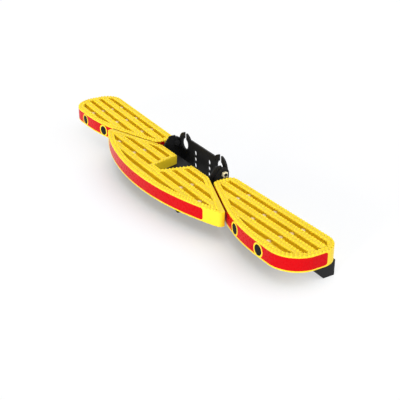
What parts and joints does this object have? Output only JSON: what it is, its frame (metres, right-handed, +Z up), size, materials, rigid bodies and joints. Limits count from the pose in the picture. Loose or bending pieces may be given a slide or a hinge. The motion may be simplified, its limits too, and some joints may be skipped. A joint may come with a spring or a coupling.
{
  "type": "vehicle rear step",
  "caption": "Full-width van rear step: ribbed centre and wing treads on a steel frame, with a tow-ball flange plate, trailer socket rings, red bands and parking sensors.",
  "frame": {"origin": "centre of the middle pair of flange holes, on the back plate's rear face, which lies against the vehicle's tow bar", "axes": "+X along the step to its right-hand end seen from the vehicle's rear facing it, +Y towards the vehicle, +Z up"},
  "size_m": [1.442, 0.2684, 0.1439],
  "materials": {
    "tread": "moulded, slightly textured",
    "band": "smooth retroreflective tape",
    "sensor": "satin",
    "frame_steel": "satin black powder coat",
    "bolt_black": "black oxide",
    "zinc": "yellow-passivated zinc"
  },
  "bodies": {
    "root": {"centre_tread": "tread", "left_wing_tread": "tread", "right_wing_tread": "tread", "left_inner_sensor_bezel": "tread", "left_outer_sensor_bezel": "tread", "right_inner_sensor_bezel": "tread", "right_outer_sensor_bezel": "tread", "centre_band": "band", "left_inner_band": "band", "left_middle_band": "band", "left_outer_band": "band", "right_inner_band": "band", "right_middle_band": "band", "right_outer_band": "band", "left_inner_sensor": "sensor", "left_outer_sensor": "sensor", "right_inner_sensor": "sensor", "right_outer_sensor": "sensor", "back_plate": "frame_steel", "floor_plate": "frame_steel", "front_crossmember": "frame_steel", "left_cheek": "frame_steel", "left_beam_mount_plate": "frame_steel", "left_beam": "frame_steel", "left_beam_end_plate": "frame_steel", "left_middle_outrigger": "frame_steel", "left_outer_outrigger": "frame_steel", "right_cheek": "frame_steel", "right_beam_mount_plate": "frame_steel", "right_beam": "frame_steel", "right_beam_end_plate": "frame_steel", "right_middle_outrigger": "frame_steel", "right_outer_outrigger": "frame_steel", "beam_bolts": "bolt_black", "beam_washers": "bolt_black", "beam_nuts": "zinc", "centre_tread_screws": "zinc", "wing_tread_screws": "zinc"}
  },
  "joints": []
}
